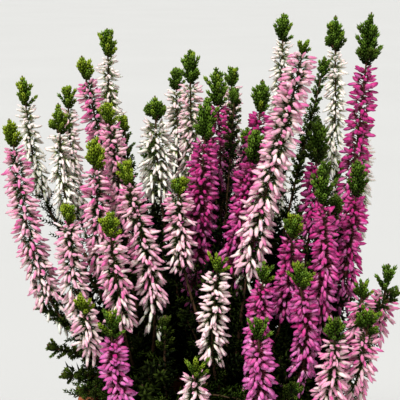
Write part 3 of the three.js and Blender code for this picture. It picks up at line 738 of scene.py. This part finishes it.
# the leaves' ramps run from near black where they leave the stem, partly painted shade, to pale tips, partly
# painted highlight; the dull ramp also paints the shade deep in the bush
LEAVES = leaf_material(
    "leaves",
    [(0, "#020500"), (0.4, "#0b1504"), (0.75, "#24360c"), (1, "#52662a")],
    [(0, "#182002"), (0.4, "#4e6210"), (0.75, "#98aa38"), (1, "#e2eaa8")],
    [(0.2, "#ffffff"), (0.42, "#dcf8ff"), (0.7, "#dcf8ff"), (0.9, "#ffffe0")],
)
CALYX_COLOURS = {  # dull and fresh ones, from base to tip
    "pink": ["calyx", ["#16220a", "#243812", "#3a5020"], ["#2c4010", "#4a6420", "#6f8a3c"]],
    "white": ["pale_calyx", ["#3c4a1c", "#5c6c34", "#8a9860"], ["#5c6a30", "#98a468", "#c4cc98"]],
    "magenta": ["rosy_calyx", ["#40201a", "#742a40", "#a43a6c"], ["#54381e", "#9a4868", "#c86a98"]],
}
CALYX = {
    flower: leaf_material(name, *(list(zip([0, 0.5, 1], codes)) for codes in colours))
    for flower, (name, *colours) in CALYX_COLOURS.items()
}
BARK = bark_material()


# ---- flowers
def trailing_buds(spike, length, random):
    """Places of the buds below the flowers, in lengths of the flowers from their foot, and so below 0."""
    hanging = np.interp(spike["foot"][2], TRAIL.feet, [1, 0]) * np.interp(length, TRAIL.flowered, [0, 1])
    reach, count = LONG_TRAILS.get(spike["name"], [TRAIL.length, TRAIL.count * hanging])
    return -np.sort(random.uniform(0, 1, round(count)) ** 1.3)[::-1] * reach / length


def bud_places(spike, size, random):
    """Where each bud leaves the stem, and how far up the flowers that is, from 0 to 1."""
    drawn_together, stray = 0.55, 0.25
    low, high = lengths_of(spike)
    length = (top_of_flowers(spike) - 1) * high
    per_mm = BUDS[spike["flower"]].per_mm * CROWDED.get(spike["name"], 1)
    count = round(length * per_mm * size**0.4)
    share = (np.arange(count) + 0.5) / count
    rings = TURN * (length / LEVEL)
    share = share - drawn_together * np.sin(rings * share) / rings
    share = np.clip(share + random.normal(0, stray / count, count), 0.005, 0.995)
    share = np.concatenate([trailing_buds(spike, length, random), share])
    at = np.where(share < 0, 1 + share * length / low, mix(1, top_of_flowers(spike), share))
    return at, share


def bud_directions(along, out, share, limp, random):
    """Buds point up at a spike's top, and hang more and more towards its foot."""
    sideways, pitching = 0.48, 17
    aside = np.cross(along, out) * column(random.normal(0, sideways, len(share)))
    limp = limp * np.clip(2 - 2 * share, 0, 1)
    pitch = np.interp(share, *DROOP) - limp + random.normal(0, pitching, len(share))
    return unit(leaning(unit(out + aside), unit(along + UP), pitch))


def grow_stalks(growth, start, end, tint, material):
    stalk = end - start
    axes = axes_along(unit(stalk), np.zeros(len(stalk)))
    radii = np.full(len(stalk), STALK.radius)
    growth.stamp(STALK_SHAPE, start, axes, radii, norm(stalk, axis=1), tint, material)


def grow_flowers(spike, random):
    """The buds round one spike, each with its calyx and its stalk."""
    turning, lift, calyx_length = 0.35, 0.5, 0.8
    growth, flower = Growth(), spike["flower"]
    bud = BUDS[flower]
    size = bud.loose * (spike["reach"] / FULL) ** 0.6
    at, share = bud_places(spike, size, random)
    count = len(at)
    centre, along, out = round_stem(spike, at, turning, random)
    direction = bud_directions(along, out, share, bud.limp, random)
    reach = size * FULL * mix(*START, np.clip(share, 0, 1)) * random.uniform(0.5, 1.25, count)
    reach *= SPLAYED.get(spike["name"], 1)
    base = centre + out * column(reach) + unit(along + UP) * lift
    young = 1 - YOUNG.smaller * np.clip((share - YOUNG.start) / (1 - YOUNG.start), 0, 1)
    lengths = bud.length * size**0.6 * young * random.uniform(0.84, 1.14, count)
    plump = max(1, spike["reach"] / FULL)
    widths = bud.width * plump * young * random.uniform(0.86, 1.12, count)
    deeper = DEEPER * (np.clip(share, -1, 1) - 0.5)
    tint = np.clip(spike["depth"] + deeper + random.normal(0, bud.uneven, count), 0, 1)
    axes = axes_along(direction, random.uniform(0, TURN, count))
    for petals, chosen in ((PETALS[flower], share >= 0), (PETALS[bud.faded], share < 0)):
        if chosen.any():
            copies = base[chosen], axes[chosen], widths[chosen], lengths[chosen], tint[chosen]
            growth.stamp(BUD_SHAPE, *copies, petals)
    shades = random.uniform(0, 1, count)
    growth.stamp(CALYX_SHAPE, base, axes, widths, lengths * calyx_length, shades, CALYX[flower])
    start = centre + out * STALK.inside - along * STALK.down
    grow_stalks(growth, start, base + direction * STALK.into_bud, tint, CALYX[flower])
    return growth.piece(spike["name"].replace("flowers", "buds"))


# ---- stems and leaves
def grow_shoots(growth, shape, places, directions, widths, lengths, tint, random):
    axes = axes_along(unit(directions), random.uniform(0, TURN, len(places)))
    growth.stamp(shape, places, axes, widths, lengths, tint, LEAVES)


def grow_tip(growth, spike, low, radius, tint, random, kind=BLUNT):
    """A green tip: short leafy side shoots round the top of a stem, from this place up."""
    turning, sway, bulge, fewest_share, last_width, mottled = 0.3, 6, 0.36, 0.35, 1.25, 0.12
    length = norm(np.diff(stem_points(spike, [low, 2]), axis=0))
    open_tip = spike["tip"][2] < OPEN_TIP.below
    count = max(FINGER.fewest, round(length * FINGER.per_mm * (OPEN_TIP.count if open_tip else 1)))
    share = (np.arange(count) + 0.5) / count
    upto = max(fewest_share, 1 - (radius * (1.1 - kind.inward) + kind.point) / length)
    centre, along, out = round_stem(spike, mix(low, 2, share * upto), turning, random)
    lean = mix(OPEN_TIP.lean if open_tip else FINGER.lean, FINGER.top_lean, share)
    direction = leaning(along, out, lean + random.normal(0, sway, count))
    full = kind.broad - (kind.inward - BLUNT.inward) * share + bulge * np.sin(math.pi * share) ** 2
    lengths = radius * full * random.uniform(0.72, 1.14, count)
    widths = FINGER.width * (0.7 + 0.05 * radius) * random.uniform(0.88, 1.12, count)
    if open_tip:
        lengths, widths = lengths * OPEN_TIP.longer, widths * OPEN_TIP.thinner
    tints = np.clip(tint + random.normal(0, mottled, count), 0, 1)
    grow_shoots(growth, FINGER_SHAPE, centre + out * SURFACE, direction, widths, lengths, tints, random)
    end, end_along, _, _ = stem_frames(spike, [2])
    last = np.array([FINGER.width * last_width]), np.array([kind.last])
    grow_shoots(growth, FINGER_SHAPE, end - end_along * kind.last, end_along, *last, tints[-1:], random)


def side_shoots(growth, spike, stretch, kind, shape, light, random):
    """Leafy side shoots along a stretch of stem. Those inside the bush are painted darker than those out in
    the light: painted shade.
    """
    turning, taper, mottled = 0.4, [1.1, 0.85], 0.08
    length = norm(np.diff(stem_points(spike, np.linspace(*stretch, 9)), axis=0), axis=1).sum()
    count = max(2, round(length * kind.per_mm))
    share = (np.arange(count) + 0.5) / count
    centre, along, out = round_stem(spike, mix(*stretch, share), turning, random)
    direction = leaning(along, out, random.uniform(36, 60, count))
    outer = np.clip((np.hypot(centre[:, 0], centre[:, 1]) - PAINTED_BUSH_SHADE.start) / PAINTED_BUSH_SHADE.over, 0, 1)
    inner = mix(kind.inner, 1, outer)
    lengths = kind.length * inner * mix(*taper, share) * random.uniform(0.75, 1.2, count)
    widths = kind.width * inner * random.uniform(0.85, 1.15, count)
    # painted shade: leaves nearer the middle of the bush are darker
    tint = np.clip(light * mix(*PAINTED_BUSH_SHADE.light, outer) + random.normal(0, mottled, count), 0, 1)
    grow_shoots(growth, shape, centre + out * SURFACE, direction, widths, lengths, tint, random)


def fork_of(spike, index):
    """A side tip, as a short stem of its own."""
    at = top_of_flowers(spike) + SIDE_TIP.above
    (root,), (along,), (side,), (other,) = stem_frames(spike, [at])
    angle = spike["fork_angle"] + index * math.pi
    away = side * math.cos(angle) + other * math.sin(angle)
    tip = root + unit(along + away * SIDE_TIP.spread) * SIDE_TIP.length + UP * SIDE_TIP.rise
    return {"root": root, "foot": mix(root, tip, SIDE_TIP.foot), "tip": mix(root, tip, FORK_TIP.shown)}


def stem_tube(growth, spike, kind, step=3.0):
    low, high = lengths_of(spike)
    at = np.concatenate([
        np.linspace(0, 1, max(3, round(low / step)), endpoint=False),
        np.linspace(1, 2, max(3, round(high / step))),
    ])
    growth.tube(stem_points(spike, at), np.interp(at, *THICKNESS[kind]), 6, BARK)


def grow_trunk(growth, root, random):
    """The woody base of a plant, gnarled, from inside its hole in the soil up to where the stems leave it."""
    rings, sides, foot, ridges, ridge, rough = 14, 12, 0.92, 5, 0.08, 0.03
    heights = np.linspace(SOIL.top - TRUNK.depth, SOIL.top + TRUNK.height, rings)
    centres = np.array([[*root, z] for z in heights])
    radii = np.linspace(TRUNK.radius * foot, TRUNK.neck, rings)
    around = ridges * TURN * np.arange(sides) / sides
    wobble = 1 + ridge * np.sin(around + random.uniform(0, 6)) + random.normal(0, rough, (rings, sides))
    growth.tube(centres, radii, sides, BARK, wobble)


def inner_shoots(root, random):
    """Leafy shoots from a plant's base, which fill the bush between its flower stems."""
    shoots = []
    lowest = np.interp(root[1], INNER.from_front, INNER.low)
    highest = np.interp(root[1], INNER.from_front, INNER.high)
    start = np.array([*root, SOIL.top + 0.6 * TRUNK.height])
    for i in range(INNER.count):
        out = outward(TURN * (i + random.uniform(-0.3, 0.3)) / INNER.count)
        away = np.array([root[0] * random.uniform(0.1, 0.8), root[1] * random.uniform(0.1, 0.4), 0])
        tip = start + away + out * random.uniform(*INNER.out) + UP * random.uniform(lowest, highest)
        tip[:2] *= min(1, INNER.within / math.hypot(*tip[:2]))
        shoots.append({"root": start, "foot": mix(start, tip, 0.5) + out * INNER.bend, "tip": tip})
    return shoots


def skirt_shoots(root, random):
    """Low leafy shoots that lean out over the pot's rim, from the plants that stand near it."""
    shoots = []
    start = np.array([*root, SOIL.top + 0.5 * TRUNK.height])
    facing = math.atan2(root[1], root[0])
    for i in range(SKIRT.count if math.hypot(*root) > SKIRT.beyond else 0):
        angle = facing + SKIRT.fan * 2 * ((i + 0.5) / SKIRT.count - 0.5) + random.normal(0, 0.1)
        tip = outward(angle) * random.uniform(*SKIRT.out) + UP * random.uniform(*SKIRT.height)
        shoots.append({"root": start, "foot": mix(start, tip, 0.5) + UP * SKIRT.arch, "tip": tip})
    return shoots


def grow_low_shoots(growth, shoots, kind, shape, random):
    for shoot in shoots:
        stem_tube(growth, shoot, "low", 6)
        side_shoots(growth, shoot, kind.leafy, kind, shape, kind.light, random)


def grow_flowering_stem(growth, spike, random):
    fresh = PLANTS[spike["plant"]]["fresh"]
    stem_tube(growth, spike, "flowering")
    start = top_of_flowers(spike) + SPIKE_TIP.above
    radius = SPIKE_TIP.radius + SPIKE_TIP.per_mm * spike["green"]
    kind = POINTED if spike["name"] in POINTED_SPIKES else BLUNT
    grow_tip(growth, spike, start, radius, fresh, random, kind)
    for index in range(spike["forks"]):
        fork = fork_of(spike, index)
        stem_tube(growth, fork, "fork")
        grow_tip(growth, fork, FORK_TIP.start, FORK_TIP.radius, fresh, random)
    side_shoots(growth, spike, SPRIG.flowering, SPRIG, SPRIG_SHAPE, SPRIG.light, random)
    if math.hypot(*spike["foot"][:2]) > COMB.beyond:
        side_shoots(growth, spike, COMB.flowering, COMB, FILLER_SHAPE, COMB.light, random)


def grow_leafy_shoot(growth, spike, random):
    tall = spike["tip"][2] > TALL
    # a low shoot's tip takes SHADED in place of its plant's freshness: painted shade
    fresh = PLANTS[spike["plant"]]["fresh"] if tall else SHADED
    tip_from = 2 - SHOOT_TIP.length / lengths_of(spike)[1]
    stem_tube(growth, spike, "leafy")
    side_shoots(growth, spike, SPRIG.leafy, SPRIG, SPRIG_SHAPE, SPRIG.light, random)
    if tall or math.hypot(*spike["tip"][:2]) > COMB.beyond:
        side_shoots(growth, spike, COMB.leafy, COMB, FILLER_SHAPE, COMB.light, random)
    stretch = TWIGS_FROM.get(spike["plant"], TWIG.start), tip_from
    side_shoots(growth, spike, stretch, TWIG, TWIG_SHAPE, fresh * TWIG.light, random)
    grow_tip(growth, spike, tip_from, SHOOT_TIP.tall_radius if tall else SHOOT_TIP.radius, fresh, random)


def grow_plant(plant, spikes, random):
    """A plant's trunk, its stems and all their leaves, as one piece."""
    growth, root = Growth(), PLANTS[plant]["root"]
    grow_trunk(growth, root, random)
    # the inner shoots' leaves are painted very dark as painted shade
    grow_low_shoots(growth, inner_shoots(root, random), FILLER, FILLER_SHAPE, random)
    grow_low_shoots(growth, skirt_shoots(root, random), FROND, SPRIG_SHAPE, random)
    for spike in spikes:
        grow_stem = grow_flowering_stem if spike["flower"] else grow_leafy_shoot
        grow_stem(growth, spike, random)
    return growth.piece(f"{plant}_leafy_stems")


def grow_plants():
    spikes = make_spikes()
    spread(spikes)
    random = np.random.default_rng(SEED.plants)
    for plant, row in PLANTS.items():
        own = [s for s in spikes if s["plant"] == plant]
        stems = grow_plant(plant, own, random)
        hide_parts(f"{plant}_stems")
        for spike in own:
            if spike["flower"]:
                buds = grow_flowers(spike, random)
                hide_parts(spike["name"])


# ---- the pot and the soil
def pot_radius(z):
    return POT.base + (POT.rim - POT.step - POT.base) * z / POT.height


def rounded(profile, radius, steps=4):
    """The profile with its inner corners rounded off, each as a short curve."""
    profile = [np.array(point, float) for point in profile]
    made = [profile[0]]
    for before, corner, after in zip(profile, profile[1:], profile[2:]):
        reach = min(radius, norm(before - corner) / 2.2, norm(after - corner) / 2.2)
        first, last = corner + unit(before - corner) * reach, corner + unit(after - corner) * reach
        for t in np.linspace(0, 1, steps + 1):
            made.append(mix(mix(first, corner, t), mix(corner, last, t), t))
    return [*made, profile[-1]]


def pot_profile():
    """Half a section through the pot, from the middle of its base round to the middle of its floor."""
    height, wall, collar = POT.height, POT.wall, POT.height - POT.collar
    under_collar, lip_depth, lip_in = 0.4, 3, 0.8
    return [
        [0, 0],
        [pot_radius(0), 0],
        [pot_radius(collar), collar],
        [POT.rim - POT.slope, collar + under_collar],
        [POT.rim, height],
        [pot_radius(height) - wall + lip_in, height],
        [pot_radius(height - lip_depth) - wall, height - lip_depth],
        [pot_radius(POT.floor) - wall, POT.floor],
        [0, POT.floor],
    ]


def make_pot():
    """A plain thrown clay pot with a collar, rounded edges and drain holes."""
    sides, edge, sway, ridge = 128, 1.5, 0.12, 0.05
    profile = rounded(pot_profile(), edge)[1:-1]
    phase = np.random.default_rng(SEED.pot).uniform(0, TURN, 3)
    corners = []
    for radius, z in profile:
        for i in range(sides):
            angle = TURN * i / sides
            uneven = sway * math.sin(3 * angle + z / 17 + phase[0]) + ridge * math.sin(z * 1.9 + phase[1])
            inward = min(0, uneven) if radius > POT.rim - 3 else uneven
            corners.append(outward(angle) * (radius + inward * (0 < z < POT.height)) + UP * z)
    last = len(corners) - sides
    faces = [tuple(range(sides))[::-1], tuple(range(last, last + sides)), *tube_quads(len(profile), sides)]
    pot = mesh_object("clay_pot", corners, faces, [clay_material()])
    drill_holes(pot)
    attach(pot, "root")
    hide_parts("pot")


def drill_holes(pot):
    """Cuts the drain holes through the pot's floor."""
    for i in range(DRAIN.count):
        place = outward(TURN * (i + 0.5) / DRAIN.count) * DRAIN.circle * MM
        bpy.ops.mesh.primitive_cylinder_add(
            vertices=40, radius=DRAIN.radius * MM, depth=4 * POT.floor * MM, location=tuple(place)
        )
        drill = bpy.context.object
        cut = pot.modifiers.new("hole", "BOOLEAN")
        cut.object = drill
        cut.solver = "EXACT"
        bpy.context.view_layer.objects.active = pot
        bpy.ops.object.modifier_apply(modifier=cut.name)
        bpy.data.objects.remove(drill)


def make_soil():
    """Compost that fills the pot, with an uneven crumbly top."""
    sides, rings, above_floor, clear, crumb, wave, swell = 120, 44, 0.3, 0.6, 0.55, 0.5, 1.0
    floor, edge = POT.floor + above_floor, SOIL.top - SOIL.edge
    inside = pot_radius(edge) - POT.wall - clear
    bottom = pot_radius(floor) - POT.wall - clear
    lumps = np.random.default_rng(SEED.soil).uniform(-1, 1, (rings, sides))
    corners = [outward(TURN * i / sides) * bottom + UP * floor for i in range(sides)]
    for ring in range(rings):
        share = 1 - ring / rings
        rise = SOIL.mound * (1 - share**2) + swell * math.sin(5 * share + 1)
        for i in range(sides):
            angle = TURN * (i + 0.5 * (ring % 2)) / sides
            lump = crumb * lumps[ring, i] * min(1, 6 * share) + wave * math.sin(3 * angle + 7 * share)
            corners.append(outward(angle) * (inside * share) + UP * (edge + rise + lump))
    corners.append(UP * (edge + SOIL.mound))
    faces = [tuple(range(sides))[::-1], *tube_quads(rings + 1, sides), *point_faces(rings + 1, sides)]
    soil = mesh_object("compost", corners, faces, [soil_material()])
    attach(soil, "root")
    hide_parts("soil")


# ---- the stage
def from_front(elevation, azimuth=0):
    """The way from the object to what stands at these degrees, from the front and towards the right."""
    e, a = math.radians(elevation), math.radians(azimuth)
    return Vector((math.sin(a) * math.cos(e), -math.cos(a) * math.cos(e), math.sin(e)))


def make_stage():
    bpy.ops.mesh.primitive_circle_add(vertices=96, radius=40, fill_type="NGON", location=(0, 0, -0.0002))
    floor = bpy.context.object
    floor.name = "floor"
    shader = Shader("pale_floor", 0.9, 0.2)
    tone = shader.ramp(shader.noise(3, 2.0), [(0.3, "#c9c9c7"), (0.7, "#cbcbc9")])
    floor.data.materials.append(shader.finish(tone))


def make_light():
    scene = bpy.context.scene
    world = bpy.data.worlds.new("pale_room")
    world.use_nodes = True
    background = world.node_tree.nodes["Background"]
    background.inputs["Color"].default_value = colour(ROOM.colour)
    background.inputs["Strength"].default_value = ROOM.strength
    scene.world = world
    for name, sun in LIGHTS.items():
        light = bpy.data.lights.new(name, "SUN")
        light.energy, light.angle = sun.strength, math.radians(sun.size)
        toward = from_front(sun.elevation, sun.azimuth)
        add_object(name, light).rotation_euler = toward.to_track_quat("Z", "Y").to_euler()
    scene.view_settings.view_transform = "Standard"
    scene.view_settings.gamma = ROOM.gamma


def make_camera():
    data = bpy.data.cameras.new("camera")
    data.sensor_width = 36
    data.lens = data.sensor_width / 2 / math.tan(math.radians(CAMERA.field) / 2)
    data.clip_start, data.clip_end = 0.05, 100
    camera = add_object("camera", data)
    back = from_front(CAMERA.elevation)
    camera.location = TARGET + back * CAMERA.distance * MM
    camera.rotation_euler = back.to_track_quat("Z", "Y").to_euler()
    bpy.context.scene.camera = camera


make_camera()
make_light()
make_stage()
make_pot()
make_soil()
grow_plants()
